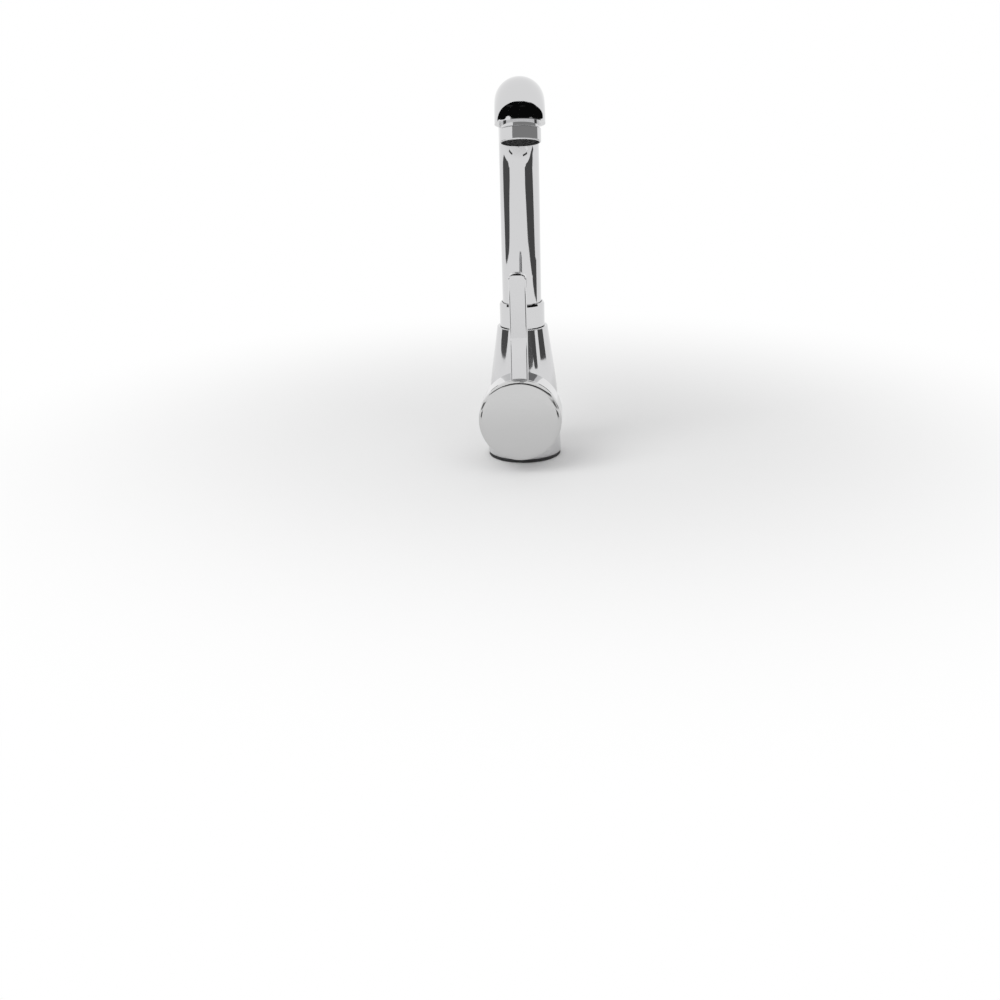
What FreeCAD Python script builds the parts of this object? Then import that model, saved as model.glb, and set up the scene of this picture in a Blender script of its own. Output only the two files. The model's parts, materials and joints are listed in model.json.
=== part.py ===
import FreeCAD
import Part
import Sketcher
import math
import os

# Single-lever mixer tap with a swivel spout. Millimetres, +Z up, -Y towards the user.
# The origin is the centre of the base, on the face that the tap stands on.

Vector = FreeCAD.Vector
Rotation = FreeCAD.Rotation
Placement = FreeCAD.Placement

x_axis = Vector(1, 0, 0)
z_axis = Vector(0, 0, 1)

# lengths closer than this count as the same
tolerance = 0.001

# Driving dimensions. Angles are in degrees. A reach is measured forward along the cartridge's axis.
dimensions = {
    # upright body
    "base_radius": 24.2,
    "base_gap": 2.2,
    "base_chamfer": 0.8,
    "lower_flare": 2.2,
    "shoulder_height": 46.8,
    "shoulder_blend": 13.0,
    "taper_top_height": 86.8,
    "taper_top_radius": 16.3,
    "taper_edge_round": 0.6,
    "neck_thread_depth": 0.4,
    "neck_height": 8.0,
    "socket_radius": 9.6,
    "socket_depth": 28.0,
    "gasket_width": 3.6,
    "gasket_thickness": 3.4,
    "gasket_inset": 0.5,
    # cartridge housing on the front of the body
    "cartridge_height": 36.2,
    "housing_wall": 3.0,
    "seat_setback": 3.0,
    "nut_step": 1.4,
    "nut_inner_radius": 13.0,
    "nut_thread_length": 3.0,
    "nut_hex_height": 3.0,
    "nut_hex_across": 30.0,
    "dome_depth": 4.5,
    "dome_hex_gap": 0.9,
    "dome_step": 0.4,
    # waterways and fixings under the base
    "inlet_spacing": 15.0,
    "inlet_setback": 10.0,
    "inlet_thread_radius": 4.5,
    "inlet_thread_length": 14.0,
    "inlet_drill_radius": 3.4,
    "inlet_overrun": 1.5,
    "port_radius": 3.0,
    "port_spread": 13.0,
    "port_drop": 5.9,
    "outlet_rise": 7.6,
    "outlet_radius": 3.4,
    "outlet_setback": 8.0,
    "stud_spacing": 18.0,
    "stud_forward": 9.0,
    "stud_radius": 3.0,
    "stud_length": 62.0,
    "stud_grip": 10.0,
    "deck_thickness": 20.0,
    "clamp_radius": 20.5,
    "clamp_slot_width": 27.0,
    "clamp_gasket_thickness": 3.0,
    "clamp_plate_thickness": 2.5,
    "stud_nut_across": 10.0,
    "stud_nut_height": 5.0,
    # cartridge
    "cartridge_radius": 17.5,
    "shell_wall": 1.9,
    "shell_length": 27.0,
    "shell_front_wall": 3.0,
    "base_spigot": 1.0,
    "seal_radius": 4.5,
    "seal_bore": 3.1,
    "seal_thickness": 1.5,
    "fixed_disc_thickness": 3.0,
    "disc_margin": 0.45,
    "moving_disc_thickness": 3.0,
    "mixing_pocket_radius": 9.0,
    "mixing_pocket_depth": 1.4,
    "carrier_thickness": 5.3,
    "carrier_flat": 1.8,
    "carrier_socket_width": 7.0,
    "carrier_socket_height": 7.0,
    "carrier_socket_depth": 3.8,
    "rotor_channel_depth": 5.1,
    "turret_radius": 11.9,
    "turret_rise": 1.0,
    "stem_slot_height": 18.0,
    "pivot_setback": 5.0,
    "pivot_pin_radius": 2.0,
    "pivot_pin_inset": 2.5,
    "stem_width": 8.0,
    "stem_lift": 20.0,
    "stem_ball_lead": 0.05,
    "stem_ball_radius": 3.0,
    "stem_finger_radius": 2.4,
    "stem_finger_overlap": 1.0,
    "stem_square_tail": 4.8,
    "stem_engagement": 5.3,
    # handle
    "skirt_gap": 0.9,
    "hub_wall": 2.3,
    "hub_rim_overlap": 3.0,
    "hub_rim_slant": 8.0,
    "hub_slant_margin": 1.0,
    "hub_web_gap": 6.7,
    "hub_web_thickness": 4.8,
    "hub_front_chamfer": 0.4,
    "hub_boss_radius": 7.5,
    "hub_boss_gap": 2.0,
    "hub_boss_setback": 0.5,
    "cap_rim_wall": 5.3,
    "cap_recess_depth": 3.0,
    "cap_seam": 0.5,
    "cap_side_depth": 1.5,
    "cap_edge_round": 3.2,
    "cap_crown_radius": 260.0,
    "cap_rear_chamfer": 0.4,
    "cap_spigot_wall": 2.2,
    "cap_spigot_depth": 2.6,
    "cap_ring_section": 1.7,
    "screw_radius": 2.0,
    "screw_length": 9.0,
    "screw_head_radius": 4.0,
    "screw_head_height": 2.2,
    "screw_key_radius": 1.8,
    "screw_key_depth": 1.3,
    "lever_width": 11.2,
    "lever_root_thickness": 5.2,
    "lever_tip_thickness": 5.4,
    "lever_crease_height": 52.6,
    "lever_tip_height": 94.4,
    "lever_lean": 7.0,
    "lever_tip_round": 4.6,
    "lever_tip_crown": 3.4,
    "lever_crown_rise": 0.6,
    "lever_outline_margin": 4.0,
    "lever_edge_round": 1.5,
    "lever_tenon_width": 8.0,
    "lever_tenon_thickness": 2.8,
    "lever_tenon_depth": 3.2,
    "lever_tenon_root": 4.7,
    "lever_foot_depth": 2.0,
    # swivel joint and spout
    "swivel_rim_wall": 1.6,
    "swivel_nut_gap": 0.4,
    "swivel_nut_height": 15.2,
    "swivel_lip_height": 3.4,
    "swivel_recess_depth": 2.4,
    "swivel_bevel_height": 1.4,
    "swivel_bevel_depth": 0.65,
    "slip_ring_thickness": 1.2,
    "shank_bore": 6.6,
    "shank_top_length": 13.0,
    "slip_groove_depth": 1.2,
    "shank_seal_section": 1.55,
    "shank_seal_low": 6.0,
    "shank_seal_pitch": 9.0,
    "tube_radius": 12.5,
    "tube_wall": 1.2,
    "tube_foot_gap": 0.5,
    "spout_corner_height": 223.2,
    "spout_rise": 6.0,
    "spout_bend_radius": 38.0,
    "spout_reach": 150.0,
    "spout_rest_turn": 3.4,
    "nose_sleeve_wall": 0.55,
    "nose_wall": 2.7,
    "nose_way_step": 0.7,
    "nose_sleeve": 12.0,
    "nose_inner_bend": 0.3,
    "nose_lip": 0.3,
    "nose_edge_round": 0.35,
    "outlet_tilt": 16.5,
    "aerator_rim_step": 0.35,
    "aerator_gap": 2.4,
    "aerator_length": 7.1,
    "aerator_thread_length": 6.0,
    "aerator_wall": 1.5,
    "aerator_lip_wall": 0.9,
    "aerator_edge_round": 0.6,
    "aerator_neck_relief": 0.6,
    "aerator_rim_margin": 1.4,
    "aerator_insert_depth": 5.4,
    "aerator_insert_inset": 0.4,
    "aerator_seal_thickness": 1.4,
    "aerator_jet_radius": 0.9,
    "screen_thickness": 0.5,
    "screen_hole_radius": 0.75,
    # clearances
    "thread_clearance": 0.1,
    "running_clearance": 0.08,
    "seat_clearance": 0.05,
    "free_clearance": 0.3,
}

doc = FreeCAD.newDocument("mixer_tap")
sheet = doc.addObject("Spreadsheet::Sheet", "Dims")
for row, (alias, number) in enumerate(dimensions.items(), start=1):
    sheet.set("A%d" % row, alias)
    sheet.set("B%d" % row, str(number))
    sheet.setAlias("B%d" % row, alias)
doc.recompute()


class Size:
    # A length or angle that keeps the sheet formula it came from, so that features can be bound to it.
    def __init__(self, value, formula):
        self.value = value
        self.formula = formula

    def __add__(self, other):
        other = size(other)
        return Size(self.value + other.value, "(%s + %s)" % (self.formula, other.formula))

    def __sub__(self, other):
        other = size(other)
        return Size(self.value - other.value, "(%s - %s)" % (self.formula, other.formula))

    def __mul__(self, other):
        other = size(other)
        return Size(self.value * other.value, "(%s * %s)" % (self.formula, other.formula))

    def __truediv__(self, other):
        other = size(other)
        return Size(self.value / other.value, "(%s / %s)" % (self.formula, other.formula))

    def __rsub__(self, other):
        return size(other) - self

    def __neg__(self):
        return Size(-self.value, "(-%s)" % self.formula)


def size(number):
    if isinstance(number, Size):
        return number
    return Size(float(number), "%.6g" % number)


def dim(alias):
    return Size(float(sheet.get(alias)), "Dims.%s" % alias)


def sine(angle):
    return Size(math.sin(math.radians(angle.value)), "sin(%s)" % angle.formula)


def cosine(angle):
    return Size(math.cos(math.radians(angle.value)), "cos(%s)" % angle.formula)


def tangent(angle):
    return Size(math.tan(math.radians(angle.value)), "tan(%s)" % angle.formula)


def root(number):
    return Size(math.sqrt(number.value), "sqrt(%s)" % number.formula)


def bind(target, prop, number):
    target.setExpression(prop, size(number).formula)


pieces = []


def add_piece(label, placement):
    # One physical piece: a body with its own name and place.
    body = doc.addObject("PartDesign::Body", label)
    body.Label = label
    body.Placement = placement
    pieces.append(body)
    return body


def add_sketch(body, role, offset=0):
    # A sketch on one of the body's own planes, moved along the plane's normal by the offset.
    sketch = body.newObject("Sketcher::SketchObject", body.Name + "_sketch")
    plane = [feature for feature in body.Origin.OriginFeatures if feature.Role == role][0]
    sketch.AttachmentSupport = [(plane, "")]
    sketch.MapMode = "FlatFace"
    bind(sketch, "AttachmentOffset.Base.z", offset)
    return sketch


def pin_point(sketch, geometry, point, across, up):
    # Holds one point of the sketch at its place from the sketch's origin.
    for kind, number in (("DistanceX", size(across)), ("DistanceY", size(up))):
        index = sketch.addConstraint(Sketcher.Constraint(kind, -1, 1, geometry, point, number.value))
        bind(sketch, "Constraints[%d]" % index, number)


def add_circle(sketch, across, up, radius):
    centre = Vector(size(across).value, size(up).value, 0)
    circle = sketch.addGeometry(Part.Circle(centre, z_axis, size(radius).value))
    pin_point(sketch, circle, 3, across, up)
    index = sketch.addConstraint(Sketcher.Constraint("Radius", circle, size(radius).value))
    bind(sketch, "Constraints[%d]" % index, radius)


def add_line(sketch, corners, closed=True):
    # Straight sides and arcs through the corners. A corner is (across, up), or (across, up, radius) where the
    # side that leaves it is an arc: a radius above zero bends to the left, below zero to the right.
    sides = []
    count = len(corners) if closed else len(corners) - 1
    for index in range(count):
        start = corners[index]
        end = corners[(index + 1) % len(corners)]
        first = Vector(size(start[0]).value, size(start[1]).value, 0)
        last = Vector(size(end[0]).value, size(end[1]).value, 0)
        if len(start) == 2:
            side = sketch.addGeometry(Part.LineSegment(first, last))
            sides.append((side, 1, 2))
            continue
        bend = size(start[2])
        chord = last - first
        radius = abs(bend.value)
        left = math.copysign(1.0, bend.value)
        normal = Vector(-chord.y, chord.x, 0).normalize()
        depth = math.sqrt(max(radius ** 2 - (chord.Length / 2) ** 2, 0.0))
        centre = (first + last) / 2 + normal * (left * depth)
        from_point, to_point = (first, last) if left > 0 else (last, first)
        from_angle = math.atan2(from_point.y - centre.y, from_point.x - centre.x)
        to_angle = math.atan2(to_point.y - centre.y, to_point.x - centre.x)
        if to_angle <= from_angle:
            to_angle += 2 * math.pi
        side = sketch.addGeometry(Part.ArcOfCircle(Part.Circle(centre, z_axis, radius), from_angle, to_angle))
        sides.append((side, 1, 2) if left > 0 else (side, 2, 1))
        bound = bend if left > 0 else -bend
        held = sketch.addConstraint(Sketcher.Constraint("Radius", side, radius))
        bind(sketch, "Constraints[%d]" % held, bound)
    for index, (side, start, end) in enumerate(sides):
        pin_point(sketch, side, start, corners[index][0], corners[index][1])
        if index + 1 < len(sides):
            following = sides[index + 1]
            sketch.addConstraint(Sketcher.Constraint("Coincident", side, end, following[0], following[1]))
        elif closed:
            sketch.addConstraint(Sketcher.Constraint("Coincident", side, end, sides[0][0], sides[0][1]))
        else:
            pin_point(sketch, side, end, corners[-1][0], corners[-1][1])


def add_rectangle(sketch, across, up, width, height):
    left = size(across) - size(width) / 2
    right = size(across) + size(width) / 2
    low = size(up) - size(height) / 2
    high = size(up) + size(height) / 2
    add_line(sketch, [(left, low), (right, low), (right, high), (left, high)])


def turn(body, corners, kind="PartDesign::Revolution"):
    # A turned form: the half section (radius, height) goes round the body's own Z axis.
    sketch = add_sketch(body, "XZ_Plane")
    add_line(sketch, corners)
    feature = body.newObject(kind, body.Name + "_turned")
    feature.Profile = sketch
    feature.ReferenceAxis = (sketch, ["V_Axis"])
    feature.Angle = 360
    return feature


def raise_pad(body, sketch, length, symmetric=False):
    feature = body.newObject("PartDesign::Pad", body.Name + "_pad")
    feature.Profile = sketch
    bind(feature, "Length", length)
    if symmetric:
        feature.SideType = "Symmetric"
    return feature


def cut_pocket(body, sketch, length, reverse=False, symmetric=False):
    # A cut against the sketch's normal, or along it when reversed. It has to take material away.
    doc.recompute()
    before = body.Shape.Volume
    feature = body.newObject("PartDesign::Pocket", body.Name + "_pocket")
    feature.Profile = sketch
    feature.Reversed = reverse
    if symmetric:
        feature.SideType = "Symmetric"
    bind(feature, "Length", length)
    doc.recompute()
    if body.Shape.Volume >= before:
        raise RuntimeError("the cut in %s takes nothing away" % body.Label)
    return feature


def round_edges(body, radius, wanted, kind="PartDesign::Fillet"):
    # Rounds every edge of the body so far that the test picks out.
    doc.recompute()
    base = body.Tip
    names = ["Edge%d" % (index + 1) for index, edge in enumerate(base.Shape.Edges) if wanted(edge)]
    if not names:
        raise RuntimeError("no edge to round in %s" % body.Label)
    feature = body.newObject(kind, body.Name + "_edges")
    feature.Base = (base, names)
    bind(feature, "Radius" if kind == "PartDesign::Fillet" else "Size", radius)
    return feature


def is_circle(edge, radius, centre):
    # A circle of this radius round this point.
    if not isinstance(edge.Curve, Part.Circle):
        return False
    same_radius = abs(edge.Curve.Radius - radius.value) < tolerance
    return same_radius and edge.Curve.Center.distanceToPoint(centre) < tolerance


def ring_pattern(body, feature, count):
    # Copies a cut evenly round the body's Z axis.
    pattern = body.newObject("PartDesign::PolarPattern", body.Name + "_pattern")
    pattern.Originals = [feature]
    axis = [item for item in body.Origin.OriginFeatures if item.Role == "Z_Axis"][0]
    pattern.Axis = (axis, [""])
    pattern.Angle = 360
    pattern.Occurrences = count
    body.Tip = pattern
    return pattern


def add_group(label, members, placement):
    # Several like pieces that share one node.
    group = doc.addObject("Part::Compound", label)
    group.Label = label
    group.Links = members
    group.Placement = placement
    pieces.append(group)
    return group


def add_cylinder(name, radius, length, place):
    cylinder = doc.addObject("Part::Cylinder", name)
    bind(cylinder, "Radius", radius)
    bind(cylinder, "Height", length)
    for axis, number in zip("xyz", place):
        bind(cylinder, "Placement.Base.%s" % axis, number)
    return cylinder


def cut_shape(name, base, tool):
    cut = doc.addObject("Part::Cut", name)
    cut.Base = base
    cut.Tool = tool
    return cut


# Shared frames. The cartridge's own Z runs forward, the spout's frame is turned to where the spout points.
thread_clearance = dim("thread_clearance")
running_clearance = dim("running_clearance")
seat_clearance = dim("seat_clearance")
free_clearance = dim("free_clearance")
tube_radius = dim("tube_radius")
nose_radius = tube_radius + seat_clearance + dim("nose_sleeve_wall")
nose_bore = nose_radius - dim("nose_wall")
cartridge_height = dim("cartridge_height")
spout_rise = dim("spout_rise")
spout_reach = dim("spout_reach")
nose_sleeve = dim("nose_sleeve")
nose_bend_radius = nose_radius + dim("nose_inner_bend")
nose_turn = 90 - dim("outlet_tilt") + spout_rise
nose_lip = dim("nose_lip")
nose_start_height = dim("spout_corner_height") + (spout_reach - nose_sleeve * cosine(spout_rise)) * tangent(spout_rise)
nose_start_reach = spout_reach - nose_sleeve * cosine(spout_rise)

upright = Placement()
cartridge_frame = Placement(Vector(0, 0, cartridge_height.value), Rotation(x_axis, 90))
spout_frame = Placement(Vector(), Rotation(z_axis, dim("spout_rest_turn").value))
nose_frame = spout_frame.multiply(
    Placement(
        Vector(0, -nose_start_reach.value, nose_start_height.value),
        Rotation(x_axis, 90 - spout_rise.value),
    )
)
nose_end_drop = nose_bend_radius * (1 - cosine(nose_turn)) + nose_lip * sine(nose_turn)
nose_end_reach = nose_sleeve + nose_bend_radius * sine(nose_turn) + nose_lip * cosine(nose_turn)
outlet_frame = nose_frame.multiply(
    Placement(
        Vector(0, -nose_end_drop.value, nose_end_reach.value),
        Rotation(x_axis, nose_turn.value),
    )
)

base_gap = dim("base_gap")
base_radius = dim("base_radius")
shoulder_radius = base_radius - dim("lower_flare")
seat_setback = dim("seat_setback")
housing_reach = dim("shell_length") + dim("nut_thread_length")
cartridge_radius = dim("cartridge_radius")
nut_radius = cartridge_radius + dim("nut_step")
nut_hex_corner = dim("nut_hex_across") / (cosine(size(30)) * 2)
housing_radius = nut_radius + thread_clearance + dim("housing_wall")
swivel_recess_radius = tube_radius + free_clearance + thread_clearance
neck_radius = swivel_recess_radius - dim("neck_thread_depth")
neck_top = dim("taper_top_height") + dim("neck_height")
shank_radius = dim("socket_radius") - running_clearance
slip_groove_radius = shank_radius - dim("slip_groove_depth")
gasket_outer = base_radius - dim("gasket_inset")
gasket_inner = gasket_outer - dim("gasket_width")
socket_floor = neck_top - dim("socket_depth")
port_places = [
    (-dim("port_spread") / 2, -dim("port_drop")),
    (dim("port_spread") / 2, -dim("port_drop")),
    (size(0), dim("outlet_rise")),
]
inlet_sides = [-dim("inlet_spacing") / 2, dim("inlet_spacing") / 2]
stud_sides = [-dim("stud_spacing") / 2, dim("stud_spacing") / 2]


def make_valve_body():
    # Round base and taper turned in one piece, with the threaded neck for the swivel nut on top.
    body = add_piece("valve_body", upright)
    chamfer = dim("base_chamfer")
    groove_top = dim("gasket_thickness")
    # the flared foot runs into the taper on an arc that starts and ends this far from their corner
    blend = dim("shoulder_blend")
    flare = dim("lower_flare")
    flare_rise = dim("shoulder_height") - base_gap - chamfer
    flare_side = root(flare * flare + flare_rise * flare_rise)
    taper = shoulder_radius - dim("taper_top_radius")
    taper_rise = dim("taper_top_height") - dim("shoulder_height")
    taper_side = root(taper * taper + taper_rise * taper_rise)
    turned = (flare * taper + flare_rise * taper_rise) / (flare_side * taper_side)
    blend_radius = blend * root((turned + 1) / (1 - turned))
    turn(body, [
        (0, base_gap),
        (gasket_inner - seat_clearance, base_gap),
        (gasket_inner - seat_clearance, groove_top),
        (gasket_outer + seat_clearance, groove_top),
        (gasket_outer + seat_clearance, base_gap),
        (base_radius - chamfer / 2, base_gap),
        (base_radius, base_gap + chamfer),
        (
            shoulder_radius + blend * flare / flare_side,
            dim("shoulder_height") - blend * flare_rise / flare_side,
            blend_radius,
        ),
        (shoulder_radius - blend * taper / taper_side, dim("shoulder_height") + blend * taper_rise / taper_side),
        (dim("taper_top_radius"), dim("taper_top_height")),
        (neck_radius, dim("taper_top_height")),
        (neck_radius, neck_top),
        (0, neck_top),
    ])
    taper_top = Vector(0, 0, dim("taper_top_height").value)
    round_edges(
        body, dim("taper_edge_round"), lambda edge: is_circle(edge, dim("taper_top_radius"), taper_top)
    )
    # level housing for the cartridge, with its bore and the nut's thread
    housing = add_sketch(body, "XZ_Plane")
    add_circle(housing, 0, cartridge_height, housing_radius)
    raise_pad(body, housing, housing_reach)
    bore = add_sketch(body, "XZ_Plane", housing_reach)
    add_circle(bore, 0, cartridge_height, cartridge_radius + thread_clearance)
    cut_pocket(body, bore, housing_reach + seat_setback)
    thread = add_sketch(body, "XZ_Plane", housing_reach)
    add_circle(thread, 0, cartridge_height, nut_radius + thread_clearance)
    cut_pocket(body, thread, dim("nut_thread_length"))
    # spout socket from above, and the way down to the outlet port
    socket = add_sketch(body, "XY_Plane", neck_top)
    add_circle(socket, 0, 0, dim("socket_radius"))
    cut_pocket(body, socket, dim("socket_depth"))
    outlet = add_sketch(body, "XY_Plane", socket_floor)
    add_circle(outlet, 0, dim("outlet_setback"), dim("outlet_radius"))
    cut_pocket(body, outlet, socket_floor - cartridge_height - dim("outlet_rise"))
    # ports behind the cartridge's seat
    for across, up in port_places:
        port = add_sketch(body, "XZ_Plane", -seat_setback)
        add_circle(port, across, cartridge_height + up, dim("port_radius"))
        cut_pocket(body, port, dim("outlet_setback") - seat_setback)
    # threaded inlets and stud holes from below
    for side in inlet_sides:
        inlet = add_sketch(body, "XY_Plane", base_gap)
        add_circle(inlet, side, dim("inlet_setback"), dim("inlet_thread_radius"))
        cut_pocket(body, inlet, dim("inlet_thread_length"), reverse=True)
        drill = add_sketch(body, "XY_Plane", base_gap)
        add_circle(drill, side, dim("inlet_setback"), dim("inlet_drill_radius"))
        drill_top = cartridge_height - dim("port_drop") + dim("inlet_overrun")
        cut_pocket(body, drill, drill_top - base_gap, reverse=True)
    for side in stud_sides:
        hole = add_sketch(body, "XY_Plane", base_gap)
        add_circle(hole, side, -dim("stud_forward"), dim("stud_radius") + seat_clearance)
        cut_pocket(body, hole, dim("stud_grip"), reverse=True)


def make_base_gasket():
    body = add_piece("base_gasket", upright)
    turn(body, [
        (gasket_inner, 0),
        (gasket_outer, 0),
        (gasket_outer, dim("gasket_thickness")),
        (gasket_inner, dim("gasket_thickness")),
    ])


def make_fixings():
    # Two studs, a horseshoe washer, a horseshoe plate and two nuts clamp the tap from below.
    stud_top = base_gap + dim("stud_grip")
    stud_foot = stud_top - dim("stud_length")
    studs = []
    nuts = []
    gasket_top = -dim("deck_thickness")
    plate_top = gasket_top - dim("clamp_gasket_thickness")
    nut_top = plate_top - dim("clamp_plate_thickness")
    for index, side in enumerate(stud_sides):
        place = (side, -dim("stud_forward"), stud_foot)
        studs.append(add_cylinder("stud_%d" % index, dim("stud_radius"), dim("stud_length"), place))
        hexagon = doc.addObject("Part::Prism", "stud_nut_%d_hexagon" % index)
        hexagon.Polygon = 6
        bind(hexagon, "Circumradius", dim("stud_nut_across") / (cosine(size(30)) * 2))
        bind(hexagon, "Height", dim("stud_nut_height"))
        nut_place = (side, -dim("stud_forward"), nut_top - dim("stud_nut_height"))
        for axis, number in zip("xyz", nut_place):
            bind(hexagon, "Placement.Base.%s" % axis, number)
        # the lower corners are turned off at the usual thirty degrees
        cone = doc.addObject("Part::Cone", "stud_nut_%d_cone" % index)
        bind(cone, "Radius1", dim("stud_nut_across") / 2)
        bind(cone, "Radius2", dim("stud_nut_across") / 2 + dim("stud_nut_height") / tangent(size(30)))
        bind(cone, "Height", dim("stud_nut_height"))
        for axis, number in zip("xyz", nut_place):
            bind(cone, "Placement.Base.%s" % axis, number)
        blank = doc.addObject("Part::Common", "stud_nut_%d_blank" % index)
        blank.Base = hexagon
        blank.Tool = cone
        bore = add_cylinder(
            "stud_nut_%d_bore" % index, dim("stud_radius") + seat_clearance, dim("stud_nut_height"), nut_place
        )
        nuts.append(cut_shape("stud_nut_%d" % index, blank, bore))
    add_group("fixing_studs", studs, upright)
    add_group("stud_nuts", nuts, upright)
    make_horseshoe("clamp_gasket", gasket_top, dim("clamp_gasket_thickness"))
    make_horseshoe("clamp_plate", plate_top, dim("clamp_plate_thickness"))


def make_horseshoe(label, top, thickness):
    # A round plate, open at the back so that the hoses pass.
    body = add_piece(label, upright)
    plate = add_sketch(body, "XY_Plane", top - thickness)
    radius = dim("clamp_radius")
    half_slot = dim("clamp_slot_width") / 2
    arm_end = root(radius * radius - half_slot * half_slot)
    add_line(plate, [
        (-half_slot, arm_end, radius),
        (-radius, 0, radius),
        (0, -radius, radius),
        (radius, 0, radius),
        (half_slot, arm_end),
        (half_slot, 0),
        (-half_slot, 0),
    ])
    raise_pad(body, plate, thickness)
    for side in stud_sides:
        hole = add_sketch(body, "XY_Plane", top)
        add_circle(hole, side, -dim("stud_forward"), dim("stud_radius") + free_clearance)
        cut_pocket(body, hole, thickness)


def make_cartridge_base():
    # Plastic base with three ports, each with a seat for its seal on the back.
    body = add_piece("cartridge_base", cartridge_frame)
    spigot_radius = cartridge_radius - dim("shell_wall") - seat_clearance
    turn(body, [
        (0, -seat_setback),
        (cartridge_radius, -seat_setback),
        (cartridge_radius, 0),
        (spigot_radius, 0),
        (spigot_radius, dim("base_spigot")),
        (0, dim("base_spigot")),
    ])
    for across, up in port_places:
        port = add_sketch(body, "XY_Plane", dim("base_spigot"))
        add_circle(port, across, up, dim("port_radius"))
        cut_pocket(body, port, dim("base_spigot") + seat_setback)
        seat = add_sketch(body, "XY_Plane", -seat_setback)
        add_circle(seat, across, up, dim("seal_radius") + seat_clearance)
        cut_pocket(body, seat, dim("seal_thickness"), reverse=True)


def make_port_seals():
    seals = []
    for index, (across, up) in enumerate(port_places):
        place = (across, up, -seat_setback)
        outside = add_cylinder("seal_%d_outside" % index, dim("seal_radius"), dim("seal_thickness"), place)
        inside = add_cylinder("seal_%d_bore" % index, dim("seal_bore"), dim("seal_thickness"), place)
        seals.append(cut_shape("seal_%d" % index, outside, inside))
    add_group("port_seals", seals, cartridge_frame)


def make_cartridge_shell():
    body = add_piece("cartridge_shell", cartridge_frame)
    inner = cartridge_radius - dim("shell_wall")
    opening = dim("turret_radius") + running_clearance
    front_wall = dim("shell_length") - dim("shell_front_wall")
    turn(body, [
        (inner, 0),
        (cartridge_radius, 0),
        (cartridge_radius, dim("shell_length")),
        (opening, dim("shell_length")),
        (opening, front_wall),
        (inner, front_wall),
    ])


fixed_disc_front = dim("base_spigot") + dim("fixed_disc_thickness")
moving_disc_rear = fixed_disc_front + seat_clearance
moving_disc_front = moving_disc_rear + dim("moving_disc_thickness")
carrier_front = moving_disc_front + dim("carrier_thickness")
rotor_radius = cartridge_radius - dim("shell_wall") - running_clearance
rotor_seat = carrier_front + free_clearance
rotor_rear = rotor_seat - dim("rotor_channel_depth")
rotor_shoulder = dim("shell_length") - dim("shell_front_wall") - running_clearance
pivot_reach = dim("shell_length") - dim("pivot_setback")
pivot_pin_radius = dim("pivot_pin_radius")
stem_width = dim("stem_width")
ball_reach = carrier_front + dim("stem_ball_lead")
# the stem's ball pushes the upper disc as far as its arc, so the disc is that much smaller than the shell
slide_travel = (pivot_reach - ball_reach) * dim("stem_lift") * math.radians(1)
moving_disc_radius = cartridge_radius - dim("shell_wall") - slide_travel - dim("disc_margin")
carrier_width = (moving_disc_radius - dim("carrier_flat")) * 2
turret_reach = housing_reach + dim("turret_rise")


def make_fixed_disc():
    body = add_piece("fixed_ceramic_disc", cartridge_frame)
    radius = cartridge_radius - dim("shell_wall") - seat_clearance
    turn(body, [
        (0, dim("base_spigot")),
        (radius, dim("base_spigot")),
        (radius, fixed_disc_front),
        (0, fixed_disc_front),
    ])
    for across, up in port_places:
        port = add_sketch(body, "XY_Plane", fixed_disc_front)
        add_circle(port, across, up, dim("port_radius"))
        cut_pocket(body, port, dim("fixed_disc_thickness"))


def make_moving_disc():
    # The upper disc has a hollow on its back, which joins the ports as it slides.
    body = add_piece("moving_ceramic_disc", cartridge_frame)
    radius = moving_disc_radius
    turn(body, [
        (0, moving_disc_rear),
        (radius, moving_disc_rear),
        (radius, moving_disc_front),
        (0, moving_disc_front),
    ])
    hollow = add_sketch(body, "XY_Plane", moving_disc_rear)
    add_circle(hollow, 0, 0, dim("mixing_pocket_radius"))
    cut_pocket(body, hollow, dim("mixing_pocket_depth"), reverse=True)


def make_disc_carrier():
    # Plastic slider with flat sides, and a socket for the stem's ball.
    body = add_piece("disc_carrier", cartridge_frame)
    radius = moving_disc_radius
    half = carrier_width / 2
    rise = root(radius * radius - half * half)
    outline = add_sketch(body, "XY_Plane", moving_disc_front)
    add_line(outline, [
        (half, -rise),
        (half, rise, radius),
        (-half, rise),
        (-half, -rise, radius),
    ])
    raise_pad(body, outline, dim("carrier_thickness"))
    socket = add_sketch(body, "XY_Plane", carrier_front)
    add_rectangle(socket, 0, 0, dim("carrier_socket_width"), dim("carrier_socket_height"))
    cut_pocket(body, socket, dim("carrier_socket_depth"))


def make_cartridge_rotor():
    # Turret with a slot for the stem, a cross hole for its pin and a channel that guides the carrier.
    body = add_piece("cartridge_rotor", cartridge_frame)
    turret = dim("turret_radius")
    turn(body, [
        (0, rotor_rear),
        (rotor_radius, rotor_rear),
        (rotor_radius, rotor_shoulder),
        (turret, rotor_shoulder),
        (turret, turret_reach),
        (0, turret_reach),
    ])
    channel = add_sketch(body, "XZ_Plane")
    channel_width = carrier_width + free_clearance * 2
    middle = rotor_rear + dim("rotor_channel_depth") / 2
    add_rectangle(channel, 0, middle, channel_width, dim("rotor_channel_depth"))
    cut_pocket(body, channel, rotor_radius * 3, symmetric=True)
    slot = add_sketch(body, "XY_Plane", turret_reach)
    add_rectangle(slot, 0, 0, stem_width + free_clearance * 2, dim("stem_slot_height"))
    cut_pocket(body, slot, turret_reach - rotor_rear)
    hole = add_sketch(body, "YZ_Plane")
    add_circle(hole, 0, pivot_reach, pivot_pin_radius + seat_clearance / 2)
    cut_pocket(body, hole, rotor_radius * 3, symmetric=True)


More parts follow.
